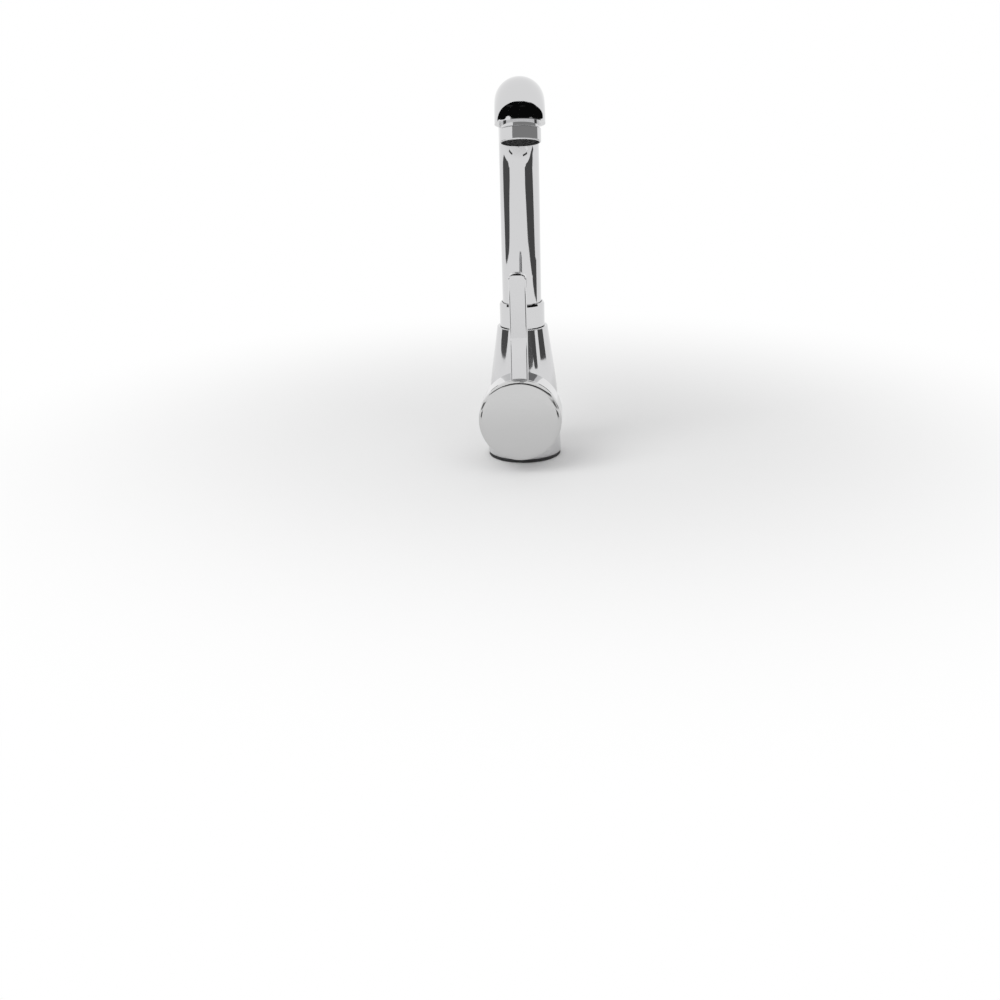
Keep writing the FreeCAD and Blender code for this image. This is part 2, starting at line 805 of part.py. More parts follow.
def make_pivot_pin():
    body = add_piece("pivot_pin", cartridge_frame)
    section = add_sketch(body, "YZ_Plane")
    add_circle(section, 0, pivot_reach, pivot_pin_radius)
    raise_pad(body, section, (rotor_radius - dim("pivot_pin_inset")) * 2, symmetric=True)


dome_reach = housing_reach + dim("dome_depth")
dome_rear_radius = housing_radius - dim("dome_step")
dome_rear_depth = housing_reach - pivot_reach
dome_ball_radius = root(dome_rear_radius * dome_rear_radius + dome_rear_depth * dome_rear_depth)
hub_boss_rear = dome_reach + dim("hub_boss_gap")
stem_reach = hub_boss_rear + dim("stem_engagement")


def make_cartridge_stem():
    # Square bar on the cross pin, with a ball at its inner end and a tapped front end.
    body = add_piece("cartridge_stem", cartridge_frame)
    ball = dim("stem_ball_radius")
    finger = dim("stem_finger_radius")
    join = ball_reach + root(ball * ball - finger * finger)
    square_rear = pivot_reach - dim("stem_square_tail")
    finger_end = square_rear + dim("stem_finger_overlap")
    turn(body, [
        (0, ball_reach - ball, ball),
        (ball, ball_reach, ball),
        (finger, join),
        (finger, finger_end),
        (0, finger_end),
    ])
    square = add_sketch(body, "XY_Plane", square_rear)
    add_rectangle(square, 0, 0, stem_width, stem_width)
    raise_pad(body, square, stem_reach - square_rear)
    hole = add_sketch(body, "YZ_Plane")
    add_circle(hole, 0, pivot_reach, pivot_pin_radius + running_clearance)
    cut_pocket(body, hole, stem_width * 2, symmetric=True)
    thread = add_sketch(body, "XY_Plane", stem_reach)
    add_circle(thread, 0, 0, dim("screw_radius") + seat_clearance)
    cut_pocket(body, thread, dim("screw_length"))


def make_cartridge_nut():
    body = add_piece("cartridge_nut", cartridge_frame)
    hex_rear = housing_reach
    bore = dim("nut_inner_radius")
    turn(body, [
        (bore, dim("shell_length")),
        (nut_radius, dim("shell_length")),
        (nut_radius, hex_rear),
        (bore, hex_rear),
    ])
    hexagon = add_sketch(body, "XY_Plane", hex_rear)
    corner = nut_hex_corner
    add_line(hexagon, [(corner * cosine(size(60 * k)), corner * sine(size(60 * k))) for k in range(6)])
    add_circle(hexagon, 0, 0, bore)
    raise_pad(body, hexagon, dim("nut_hex_height"))


def make_housing_dome():
    # Trim ring whose outside is part of a ball round the tilt pin, so that the handle's skirt clears it.
    body = add_piece("housing_dome", cartridge_frame)
    ball = dome_ball_radius
    inner = nut_hex_corner + dim("dome_hex_gap")
    front_depth = dome_reach - pivot_reach
    front_radius = root(ball * ball - front_depth * front_depth)
    turn(body, [
        (inner, housing_reach),
        (dome_rear_radius, housing_reach, ball),
        (front_radius, dome_reach),
        (inner, dome_reach),
    ])


hub_skirt = dome_ball_radius + dim("skirt_gap")
hub_radius = hub_skirt + dim("hub_wall")
hub_rim = housing_reach - dim("hub_rim_overlap")
hub_web = dome_reach + dim("hub_web_gap")
hub_front = hub_web + dim("hub_web_thickness")
hub_boss_front = hub_front - dim("hub_boss_setback")
recess_radius = hub_radius - dim("cap_rim_wall")
recess_floor = hub_front - dim("cap_recess_depth")
screw_seat = hub_boss_front - dim("screw_head_height") - thread_clearance
tenon_middle = (hub_web + hub_front) / 2


def make_handle_hub():
    # Round hub, hollow behind its web, with a skirt that is cut on a slant so that it clears the body.
    body = add_piece("handle_hub", cartridge_frame)
    boss = dim("hub_boss_radius")
    chamfer = dim("hub_front_chamfer")
    turn(body, [
        (hub_skirt, hub_rim),
        (hub_radius, hub_rim),
        (hub_radius, hub_front - chamfer),
        (hub_radius - chamfer, hub_front),
        (recess_radius, hub_front),
        (recess_radius, recess_floor),
        (boss, recess_floor),
        (boss, hub_boss_front),
        (0, hub_boss_front),
        (0, hub_boss_rear),
        (boss, hub_boss_rear),
        (boss, hub_web),
        (hub_skirt, hub_web),
    ])
    slant = add_sketch(body, "YZ_Plane")
    past_rim = dim("hub_slant_margin")
    top = hub_radius + past_rim
    step = dim("hub_rim_slant") * past_rim / (hub_radius * 2)
    add_line(slant, [
        (top, hub_rim - step),
        (-top, hub_rim + dim("hub_rim_slant") + step),
        (-top, hub_rim - past_rim),
        (top, hub_rim - past_rim),
    ])
    cut_pocket(body, slant, hub_radius * 3, symmetric=True)
    square = add_sketch(body, "XY_Plane", hub_boss_rear)
    add_rectangle(square, 0, 0, stem_width + seat_clearance * 2, stem_width + seat_clearance * 2)
    cut_pocket(body, square, stem_reach + seat_clearance - hub_boss_rear, reverse=True)
    head = add_sketch(body, "XY_Plane", hub_boss_front)
    add_circle(head, 0, 0, dim("screw_head_radius") + free_clearance)
    cut_pocket(body, head, hub_boss_front - screw_seat)
    shaft = add_sketch(body, "XY_Plane", screw_seat)
    add_circle(shaft, 0, 0, dim("screw_radius") + free_clearance)
    cut_pocket(body, shaft, screw_seat - hub_boss_rear)
    mortise = add_sketch(body, "XZ_Plane", -hub_radius)
    width = dim("lever_tenon_width") + seat_clearance * 2
    thickness = dim("lever_tenon_thickness") + seat_clearance * 2
    add_rectangle(mortise, 0, tenon_middle, width, thickness)
    cut_pocket(body, mortise, dim("lever_tenon_depth") + seat_clearance, reverse=True)


def make_handle_lever():
    # Flat bar that leans forward above its crease. Its foot is hollowed to the hub's round.
    body = add_piece("handle_lever", cartridge_frame)
    front = hub_front
    crease = dim("lever_crease_height")
    tip = dim("lever_tip_height") + dim("lever_crown_rise")
    lean = (tip - crease) * tangent(dim("lever_lean"))
    foot = hub_radius - dim("lever_foot_depth")
    crown = dim("lever_tip_crown")
    setback = crown * tangent((dim("lever_lean") + 90) / 2)
    side = add_sketch(body, "YZ_Plane")
    add_line(side, [
        (foot, front),
        (foot, front - dim("lever_root_thickness")),
        (crease, front - dim("lever_root_thickness")),
        (tip, front + lean - dim("lever_tip_thickness")),
        (tip, front + lean - setback, crown),
        (tip - setback * cosine(dim("lever_lean")), front + lean - setback * sine(dim("lever_lean"))),
        (crease, front),
    ])
    raise_pad(body, side, dim("lever_width"), symmetric=True)
    # the outline seen from the front, cut just under the crown's top
    past = dim("lever_outline_margin")
    half = dim("lever_width") / 2
    top = dim("lever_tip_height")
    corner = dim("lever_tip_round")
    outline = add_sketch(body, "XY_Plane", front + lean + past)
    add_line(outline, [
        (half + past, top - corner),
        (half + past, top + past),
        (-half - past, top + past),
        (-half - past, top - corner),
        (-half, top - corner, -corner),
        (-half + corner, top),
        (half - corner, top, -corner),
        (half, top - corner),
    ])
    cut_pocket(body, outline, lean + past * 2 + dim("lever_root_thickness"))
    # every edge of that outline, front and back, but not the crease, the foot or the tip's own thickness
    edge_round = dim("lever_edge_round")
    round_edges(body, edge_round, lambda edge: is_outline(edge, foot.value, half.value, top.value, corner.value))
    hollow = add_sketch(body, "XY_Plane", front)
    add_circle(hollow, 0, 0, hub_radius + seat_clearance)
    cut_pocket(body, hollow, dim("lever_root_thickness") * 2)
    tenon = add_sketch(body, "XZ_Plane", -hub_radius - dim("lever_tenon_root"))
    add_rectangle(tenon, 0, tenon_middle, dim("lever_tenon_width"), dim("lever_tenon_thickness"))
    raise_pad(body, tenon, dim("lever_tenon_root") + dim("lever_tenon_depth"))


def is_outline(edge, foot, half, top, corner):
    # An edge that runs along the lever's outline: all of its points are on the sides, the corners or the top.
    if edge.BoundBox.YMax < foot + tolerance:
        return False
    if edge.BoundBox.XLength < tolerance and edge.BoundBox.YLength < tolerance:
        return False
    for point in edge.discretize(5):
        across = abs(point.x)
        beyond = Vector(max(across - half + corner, 0), max(point.y - top + corner, 0), 0)
        on_side = abs(across - half) < tolerance and point.y < top - corner + tolerance
        on_corner = abs(beyond.Length - corner) < tolerance
        if not on_side and not on_corner:
            return False
    return True


def make_handle_cap():
    # Plain round front cap with a push-in spigot.
    body = add_piece("handle_cap", cartridge_frame)
    rear = hub_front + dim("cap_seam")
    side_end = rear + dim("cap_side_depth")
    edge = dim("cap_edge_round")
    crown = dim("cap_crown_radius")
    # the edge's round runs on into the crown without a step
    crown_sine = (hub_radius - edge) / (crown - edge)
    crown_cosine = root(1 - crown_sine * crown_sine)
    crown_start = side_end + edge * crown_cosine
    front = crown_start + crown - crown * crown_cosine
    chamfer = dim("cap_rear_chamfer")
    spigot = recess_radius - running_clearance * 2
    spigot_inner = spigot - dim("cap_spigot_wall")
    spigot_rear = rear - dim("cap_spigot_depth")
    section = dim("cap_ring_section")
    groove = recess_radius - seat_clearance - section - seat_clearance
    groove_rear = spigot_rear + (rear - spigot_rear - section) / 2 - seat_clearance
    groove_front = groove_rear + section + seat_clearance * 2
    turn(body, [
        (0, rear),
        (spigot_inner, rear),
        (spigot_inner, spigot_rear),
        (spigot, spigot_rear),
        (spigot, groove_rear),
        (groove, groove_rear),
        (groove, groove_front),
        (spigot, groove_front),
        (spigot, rear),
        (hub_radius - chamfer, rear),
        (hub_radius, rear + chamfer),
        (hub_radius, side_end, edge),
        (hub_radius - edge + edge * crown_sine, crown_start, crown),
        (0, front),
    ])
    ring = doc.addObject("Part::Torus", "cap_o_ring")
    ring.Label = "cap_o_ring"
    bind(ring, "Radius1", recess_radius - seat_clearance - section / 2)
    bind(ring, "Radius2", section / 2)
    middle = (groove_rear + groove_front) / 2
    ring.Placement = cartridge_frame.multiply(Placement(Vector(0, 0, middle.value), Rotation()))
    pieces.append(ring)


def make_handle_screw():
    body = add_piece("handle_screw", cartridge_frame)
    head = dim("screw_head_radius")
    shaft = dim("screw_radius")
    tip = stem_reach - dim("screw_length") + free_clearance
    turn(body, [
        (0, tip),
        (shaft, tip),
        (shaft, screw_seat),
        (head, screw_seat),
        (head, screw_seat + dim("screw_head_height")),
        (0, screw_seat + dim("screw_head_height")),
    ])
    drive = add_sketch(body, "XY_Plane", screw_seat + dim("screw_head_height"))
    key = dim("screw_key_radius")
    add_line(drive, [(key * cosine(size(60 * k)), key * sine(size(60 * k))) for k in range(6)])
    cut_pocket(body, drive, dim("screw_key_depth"))


nut_foot = dim("taper_top_height") + dim("swivel_nut_gap")
nut_top = nut_foot + dim("swivel_nut_height")
recess_floor_height = nut_top - dim("swivel_recess_depth")
lip_foot = recess_floor_height - dim("swivel_lip_height")
tube_foot = recess_floor_height + dim("tube_foot_gap")
tube_inner = tube_radius - dim("tube_wall")


def make_swivel_nut():
    # Collar on the body's neck. The tube turns in the open recess in its top.
    body = add_piece("swivel_nut", upright)
    recess = swivel_recess_radius
    outer = recess + dim("swivel_rim_wall")
    bore = neck_radius + thread_clearance
    lip = dim("socket_radius") + free_clearance
    turn(body, [
        (bore, nut_foot),
        (outer, nut_foot),
        (outer, nut_top - dim("swivel_bevel_height")),
        (outer - dim("swivel_bevel_depth"), nut_top),
        (recess, nut_top),
        (recess, recess_floor_height),
        (lip, recess_floor_height),
        (lip, lip_foot),
        (bore, lip_foot),
    ])


def make_slip_ring():
    # Split plastic ring between the neck and the nut's lip. It holds the shank by its groove.
    body = add_piece("slip_ring", upright)
    inner = slip_groove_radius + running_clearance
    turn(body, [
        (inner, neck_top),
        (neck_radius, neck_top),
        (neck_radius, neck_top + dim("slip_ring_thickness")),
        (inner, neck_top + dim("slip_ring_thickness")),
    ])


def make_spout_shank():
    # Brass shank, with two seal grooves, the slip ring's groove and a plug that fits in the tube.
    body = add_piece("spout_shank", spout_frame)
    radius = shank_radius
    bore = dim("shank_bore")
    foot = socket_floor + free_clearance * 2
    section = dim("shank_seal_section")
    seal_groove = dim("socket_radius") - running_clearance - section - seat_clearance
    half = section / 2 + seat_clearance
    low = foot + dim("shank_seal_low")
    high = low + dim("shank_seal_pitch")
    groove = slip_groove_radius
    groove_foot = neck_top - running_clearance
    groove_top = neck_top + dim("slip_ring_thickness") + running_clearance
    plug = tube_inner - seat_clearance
    plug_foot = tube_foot
    turn(body, [
        (bore, foot),
        (radius, foot),
        (radius, low - half),
        (seal_groove, low - half),
        (seal_groove, low + half),
        (radius, low + half),
        (radius, high - half),
        (seal_groove, high - half),
        (seal_groove, high + half),
        (radius, high + half),
        (radius, groove_foot),
        (groove, groove_foot),
        (groove, groove_top),
        (radius, groove_top),
        (radius, plug_foot),
        (plug, plug_foot),
        (plug, plug_foot + dim("shank_top_length")),
        (bore, plug_foot + dim("shank_top_length")),
    ])
    rings = []
    for index, height in enumerate((low, high)):
        ring = doc.addObject("Part::Torus", "shank_o_ring_%d" % index)
        bind(ring, "Radius1", dim("socket_radius") - running_clearance - section / 2)
        bind(ring, "Radius2", section / 2)
        bind(ring, "Placement.Base.z", height)
        rings.append(ring)
    add_group("shank_o_rings", rings, spout_frame)


def add_pipe(body, path, radius, kind, role, offset):
    profile = add_sketch(body, role, offset)
    for circle_radius in radius:
        add_circle(profile, 0, 0, circle_radius)
    doc.recompute()
    pipe = body.newObject(kind, body.Name + "_pipe")
    pipe.Profile = profile
    pipe.Spine = path
    return pipe


def make_spout_tube():
    # Upright run, wide bend, then an arm that rises towards its end.
    body = add_piece("spout_tube", spout_frame)
    corner = dim("spout_corner_height")
    bend = dim("spout_bend_radius")
    setback = bend * tangent((90 - spout_rise) / 2)
    path = add_sketch(body, "YZ_Plane")
    add_line(path, [
        (0, tube_foot),
        (0, corner - setback, bend),
        (-setback * cosine(spout_rise), corner + setback * sine(spout_rise)),
        (-spout_reach, corner + spout_reach * tangent(spout_rise)),
    ], closed=False)
    add_pipe(body, path, [tube_radius, tube_inner], "PartDesign::AdditivePipe", "XY_Plane", tube_foot)


def make_spout_nose():
    # Tight end elbow, slightly larger than the tube, with a sleeve over the tube's end.
    body = add_piece("spout_nose", nose_frame)
    path = add_sketch(body, "YZ_Plane")
    bend_drop = nose_bend_radius * (1 - cosine(nose_turn))
    bend_reach = nose_sleeve + nose_bend_radius * sine(nose_turn)
    add_line(path, [
        (0, 0),
        (0, nose_sleeve, nose_bend_radius),
        (-bend_drop, bend_reach),
        (-nose_end_drop, nose_end_reach),
    ], closed=False)
    way = nose_bore - dim("nose_way_step")
    add_pipe(body, path, [nose_radius, way], "PartDesign::AdditivePipe", "XY_Plane", 0)
    round_edges(body, dim("nose_edge_round"), lambda edge: is_circle(edge, nose_radius, Vector()))
    sleeve = add_sketch(body, "XY_Plane")
    add_circle(sleeve, 0, 0, tube_radius + seat_clearance)
    cut_pocket(body, sleeve, nose_sleeve, reverse=True)
    # straight tapping for the aerator, cut back from the outlet
    tapping = add_sketch(body, "XY_Plane", nose_end_reach)
    tapping.AttachmentOffset = Placement(
        Vector(0, -nose_end_drop.value, nose_end_reach.value), Rotation(x_axis, nose_turn.value)
    )
    bind(tapping, "AttachmentOffset.Base.y", -nose_end_drop)
    bind(tapping, "AttachmentOffset.Rotation.Angle", nose_turn)
    add_circle(tapping, 0, 0, nose_bore)
    cut_pocket(body, tapping, dim("aerator_thread_length") + dim("aerator_seal_thickness") + free_clearance)


aerator_radius = nose_bore + dim("aerator_rim_step")
aerator_neck = nose_bore - thread_clearance
aerator_face = dim("aerator_gap") + dim("aerator_length")
aerator_bore = aerator_neck - dim("aerator_wall")
insert_rear = aerator_face - dim("aerator_insert_depth")
insert_front = aerator_face - dim("aerator_insert_inset")
insert_radius = aerator_radius - dim("aerator_lip_wall")
screen_rear = insert_rear - dim("screen_thickness")


def make_aerator():
    # Threaded ring in the nose, with a seal behind it, a screen and a jet former.
    ring = add_piece("aerator_ring", outlet_frame)
    thread_rear = -dim("aerator_thread_length")
    edge = dim("aerator_edge_round")
    relief = aerator_neck - dim("aerator_neck_relief")
    turn(ring, [
        (aerator_bore, thread_rear),
        (aerator_neck, thread_rear),
        (aerator_neck, 0),
        (relief, 0),
        (relief, dim("aerator_gap")),
        (aerator_radius - edge, dim("aerator_gap"), edge),
        (aerator_radius, dim("aerator_gap") + edge),
        (aerator_radius, aerator_face - edge, edge),
        (aerator_radius - edge, aerator_face),
        (insert_radius + seat_clearance, aerator_face),
        (insert_radius + seat_clearance, screen_rear),
        (aerator_bore, screen_rear),
    ])
    seal = add_piece("aerator_seal", outlet_frame)
    seal_rear = thread_rear - dim("aerator_seal_thickness")
    turn(seal, [
        (aerator_bore, seal_rear),
        (aerator_neck, seal_rear),
        (aerator_neck, thread_rear),
        (aerator_bore, thread_rear),
    ])
    insert = add_piece("aerator_insert", outlet_frame)
    turn(insert, [
        (0, insert_rear),
        (insert_radius, insert_rear),
        (insert_radius, insert_front),
        (0, insert_front),
    ])
    drill_rings(insert, insert_front, insert_front - insert_rear, dim("aerator_jet_radius"), insert_radius)
    screen = add_piece("aerator_screen", outlet_frame)
    turn(screen, [
        (0, screen_rear),
        (insert_radius, screen_rear),
        (insert_radius, insert_rear),
        (0, insert_rear),
    ])
    drill_rings(screen, insert_rear, dim("screen_thickness"), dim("screen_hole_radius"), insert_radius)


ring_count = 3
holes_per_ring = 6


def drill_rings(body, top, depth, hole_radius, radius):
    # One hole in the middle and rings of holes round it, each ring with more holes than the last.
    middle = add_sketch(body, "XY_Plane", top)
    add_circle(middle, 0, 0, hole_radius)
    cut_pocket(body, middle, depth)
    pitch = (radius - dim("aerator_rim_margin")) / ring_count
    for ring in range(1, ring_count + 1):
        sketch = add_sketch(body, "XY_Plane", top)
        add_circle(sketch, pitch * ring, 0, hole_radius)
        hole = cut_pocket(body, sketch, depth)
        ring_pattern(body, hole, holes_per_ring * ring)


make_valve_body()
make_base_gasket()
make_fixings()
make_cartridge_base()
make_port_seals()
make_cartridge_shell()
make_fixed_disc()
make_moving_disc()
make_disc_carrier()
make_cartridge_rotor()
make_pivot_pin()
make_cartridge_stem()
make_cartridge_nut()
make_housing_dome()
make_handle_hub()
make_handle_lever()
make_handle_cap()
make_handle_screw()
make_swivel_nut()
make_slip_ring()
make_spout_shank()
make_spout_tube()
make_spout_nose()
make_aerator()

doc.recompute()
for item in doc.Objects:
    if "Invalid" in item.State or "Error" in item.State:
        raise RuntimeError("%s failed: %s" % (item.Name, item.State))
for piece in pieces:
    if piece.Shape.isNull() or not piece.Shape.isValid() or not piece.Shape.Solids:
        raise RuntimeError("%s has no valid shape" % piece.Label)

os.makedirs("parts", exist_ok=True)
for piece in pieces:
    piece.Shape.exportStep("parts/%s.step" % piece.Label)
    print("%-20s %d solid(s) %10.1f mm3" % (piece.Label, len(piece.Shape.Solids), piece.Shape.Volume))
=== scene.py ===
import bpy
import json
import math
from mathutils import Matrix, Vector


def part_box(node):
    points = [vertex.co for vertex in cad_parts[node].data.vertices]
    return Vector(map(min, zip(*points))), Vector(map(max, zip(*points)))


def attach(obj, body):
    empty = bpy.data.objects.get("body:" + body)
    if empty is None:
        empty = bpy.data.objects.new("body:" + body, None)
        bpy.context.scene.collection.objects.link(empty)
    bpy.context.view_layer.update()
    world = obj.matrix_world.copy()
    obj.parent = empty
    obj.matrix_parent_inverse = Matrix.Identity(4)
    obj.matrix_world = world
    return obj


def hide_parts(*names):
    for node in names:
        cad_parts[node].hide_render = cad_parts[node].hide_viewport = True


# chrome single-lever mixer tap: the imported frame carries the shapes, this script gives every piece its finish,
# cuts the thread on the studs and sets the stage
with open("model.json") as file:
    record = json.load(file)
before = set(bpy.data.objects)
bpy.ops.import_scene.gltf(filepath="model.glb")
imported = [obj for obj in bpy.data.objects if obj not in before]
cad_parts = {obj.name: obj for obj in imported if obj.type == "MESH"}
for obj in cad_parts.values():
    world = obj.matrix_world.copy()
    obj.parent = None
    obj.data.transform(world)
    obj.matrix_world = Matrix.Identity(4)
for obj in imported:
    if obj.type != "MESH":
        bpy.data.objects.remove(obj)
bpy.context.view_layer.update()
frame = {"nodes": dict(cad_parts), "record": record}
nodes = frame["nodes"]
mm = 0.001
print("frame loaded:", len(nodes), "nodes")


def toLinear(hexColour):
    # sRGB hex to linear RGBA
    channels = [int(hexColour[i:i + 2], 16) / 255 for i in (1, 3, 5)]
    linear = [c / 12.92 if c <= 0.04045 else ((c + 0.055) / 1.055) ** 2.4 for c in channels]
    return (*linear, 1.0)


def addNode(tree, kind, settings=None, inputs=None, links=None):
    # one shader node: its own settings, the values of its sockets, and links as (socket, other node, output)
    node = tree.nodes.new(kind)
    for name, value in (settings or {}).items():
        setattr(node, name, value)
    for socket, value in (inputs or {}).items():
        node.inputs[socket].default_value = value
    for socket, other, output in links or []:
        tree.links.new(other.outputs[output], node.inputs[socket])
    return node


def startMaterial(name):
    # an empty material with its output, and the piece's own coordinates
    material = bpy.data.materials.new(name)
    material.use_nodes = True
    tree = material.node_tree
    tree.nodes.clear()
    output = addNode(tree, "ShaderNodeOutputMaterial")
    coords = addNode(tree, "ShaderNodeTexCoord")
    return material, tree, output, coords


def patternScale(sizeMm):
    # texture scale for a feature of this size, because Object coordinates are in metres
    return 1000.0 / sizeMm


def waveScale(spacingMm):
    # the same for a wave, which has one crest in every 2 pi / 20 units
    return patternScale(spacingMm) * 2 * math.pi / 20


noiseLow, noiseHigh = 0.3, 0.7  # nearly all of a noise lies between these

# polished chrome plate on turned and drawn brass, and on cast zinc: a clear, neutral mirror. Wiping leaves long
# faint smears, and the polished metal under the plate is never quite flat, so a reflection's edges bend a little
tubeChrome = {"name": "polished_chrome_on_brass", "colour": "#D4D4D5", "clouded": "#CFCFD0", "cloudMm": 30.0,
              "roughness": (0.02, 0.06), "smearMm": 9.0, "smearStretch": 0.2, "rippleMm": 11.0, "rippleDepth": 6e-6}
castChrome = {"name": "polished_chrome_on_zinc", "colour": "#D6D6D7", "clouded": "#D1D1D2", "cloudMm": 22.0,
              "roughness": (0.03, 0.08), "smearMm": 7.0, "smearStretch": 0.35, "rippleMm": 6.0, "rippleDepth": 5e-6}


def makeChrome(look):
    material, tree, output, coords = startMaterial(look["name"])
    along = addNode(tree, "ShaderNodeMapping", inputs={"Scale": (1.0, 1.0, look["smearStretch"])},
                    links=[("Vector", coords, "Object")])
    smear = addNode(tree, "ShaderNodeTexNoise", inputs={"Scale": patternScale(look["smearMm"]), "Detail": 4.0},
                    links=[("Vector", along, "Vector")])
    gloss = addNode(tree, "ShaderNodeMapRange",
                    inputs={"From Min": noiseLow, "From Max": noiseHigh,
                            "To Min": look["roughness"][0], "To Max": look["roughness"][1]},
                    links=[("Value", smear, "Fac")])
    cloud = addNode(tree, "ShaderNodeTexNoise", inputs={"Scale": patternScale(look["cloudMm"]), "Detail": 2.0},
                    links=[("Vector", coords, "Object")])
    tint = addNode(tree, "ShaderNodeMixRGB",
                   inputs={"Color1": toLinear(look["colour"]), "Color2": toLinear(look["clouded"])},
                   links=[("Fac", cloud, "Fac")])
    wave = addNode(tree, "ShaderNodeTexNoise", inputs={"Scale": patternScale(look["rippleMm"]), "Detail": 1.0},
                   links=[("Vector", coords, "Object")])
    ripple = addNode(tree, "ShaderNodeBump", inputs={"Strength": 1.0, "Distance": look["rippleDepth"]},
                     links=[("Height", wave, "Fac")])
    shader = addNode(tree, "ShaderNodeBsdfPrincipled", inputs={"Metallic": 1.0},
                     links=[("Base Color", tint, "Color"), ("Roughness", gloss, "Result"),
                            ("Normal", ripple, "Normal")])
    tree.links.new(shader.outputs["BSDF"], output.inputs["Surface"])
    return material


# satin chrome of the front cap: faced on a lathe and plated, so it has very fine rings round its middle and a soft
# reflection. The rings are drawn about five times coarser than real ones, which would not show
capChrome = {"colour": "#CCCCCC", "ringColour": "#C9C9C9", "roughness": (0.10, 0.15), "ringMm": 0.4,
             "ringDepth": 1e-7, "smearMm": 8.0, "axisHeight": 36.2 * mm}


def makeSatinChrome():
    material, tree, output, coords = startMaterial("satin_chrome_turned")
    centred = addNode(tree, "ShaderNodeMapping", inputs={"Location": (0.0, 0.0, -capChrome["axisHeight"])},
                      links=[("Vector", coords, "Object")])
    rings = addNode(tree, "ShaderNodeTexWave", settings={"wave_type": "RINGS", "rings_direction": "Y"},
                    inputs={"Scale": waveScale(capChrome["ringMm"]), "Distortion": 0.4, "Detail": 2.0},
                    links=[("Vector", centred, "Vector")])
    smear = addNode(tree, "ShaderNodeTexNoise", inputs={"Scale": patternScale(capChrome["smearMm"]), "Detail": 4.0},
                    links=[("Vector", coords, "Object")])
    gloss = addNode(tree, "ShaderNodeMapRange",
                    inputs={"From Min": noiseLow, "From Max": noiseHigh,
                            "To Min": capChrome["roughness"][0], "To Max": capChrome["roughness"][1]},
                    links=[("Value", smear, "Fac")])
    tint = addNode(tree, "ShaderNodeMixRGB",
                   inputs={"Color1": toLinear(capChrome["colour"]), "Color2": toLinear(capChrome["ringColour"])},
                   links=[("Fac", rings, "Fac")])
    grooves = addNode(tree, "ShaderNodeBump", inputs={"Strength": 1.0, "Distance": capChrome["ringDepth"]},
                      links=[("Height", rings, "Fac")])
    shader = addNode(tree, "ShaderNodeBsdfPrincipled", inputs={"Metallic": 1.0},
                     links=[("Base Color", tint, "Color"), ("Roughness", gloss, "Result"),
                            ("Normal", grooves, "Normal")])
    tree.links.new(shader.outputs["BSDF"], output.inputs["Surface"])
    return material


# turned brass: yellow metal with tool marks round the axis that it was turned on, and brown tarnish in patches.
# The marks are drawn four times coarser than real ones
turnedBrass = {"colour": "#CBA862", "tarnish": "#9C7838", "tarnishMm": 7.0, "tarnished": (0.45, 0.8),
               "markMm": 0.5, "markDepth": 8e-6, "roughness": (0.2, 0.36), "dulled": (0.3, 0.75)}


def makeTurnedBrass(axis):
    material, tree, output, coords = startMaterial("turned_brass_" + axis.lower())
    marks = addNode(tree, "ShaderNodeTexWave", settings={"wave_type": "BANDS", "bands_direction": axis},
                    inputs={"Scale": waveScale(turnedBrass["markMm"]), "Distortion": 0.6, "Detail": 2.0},
                    links=[("Vector", coords, "Object")])
    patches = addNode(tree, "ShaderNodeTexNoise",
                      inputs={"Scale": patternScale(turnedBrass["tarnishMm"]), "Detail": 5.0},
                      links=[("Vector", coords, "Object")])
    spread = addNode(tree, "ShaderNodeMapRange",
                     inputs={"From Min": turnedBrass["tarnished"][0], "From Max": turnedBrass["tarnished"][1]},
                     links=[("Value", patches, "Fac")])
    tint = addNode(tree, "ShaderNodeMixRGB",
                   inputs={"Color1": toLinear(turnedBrass["colour"]), "Color2": toLinear(turnedBrass["tarnish"])},
                   links=[("Fac", spread, "Result")])
    gloss = addNode(tree, "ShaderNodeMapRange",
                    inputs={"From Min": turnedBrass["dulled"][0], "From Max": turnedBrass["dulled"][1],
                            "To Min": turnedBrass["roughness"][0], "To Max": turnedBrass["roughness"][1]},
                    links=[("Value", patches, "Fac")])
    grooves = addNode(tree, "ShaderNodeBump", inputs={"Strength": 1.0, "Distance": turnedBrass["markDepth"]},
                      links=[("Height", marks, "Fac")])
    shader = addNode(tree, "ShaderNodeBsdfPrincipled", inputs={"Metallic": 1.0},
                     links=[("Base Color", tint, "Color"), ("Roughness", gloss, "Result"),
                            ("Normal", grooves, "Normal")])
    tree.links.new(shader.outputs["BSDF"], output.inputs["Surface"])
    return material


# zinc-plated steel: a dull bluish white metal. The passivation leaves faint yellow and blue clouds, and the rolled
# sheet and bar under it a fine grain
platedSteel = {"blue": "#AFB8C4", "yellow": "#C3BEA6", "cloudMm": 6.0, "clouded": (0.35, 0.7), "grainMm": 0.6,
               "grainDepth": 1.2e-5, "roughness": (0.26, 0.42)}


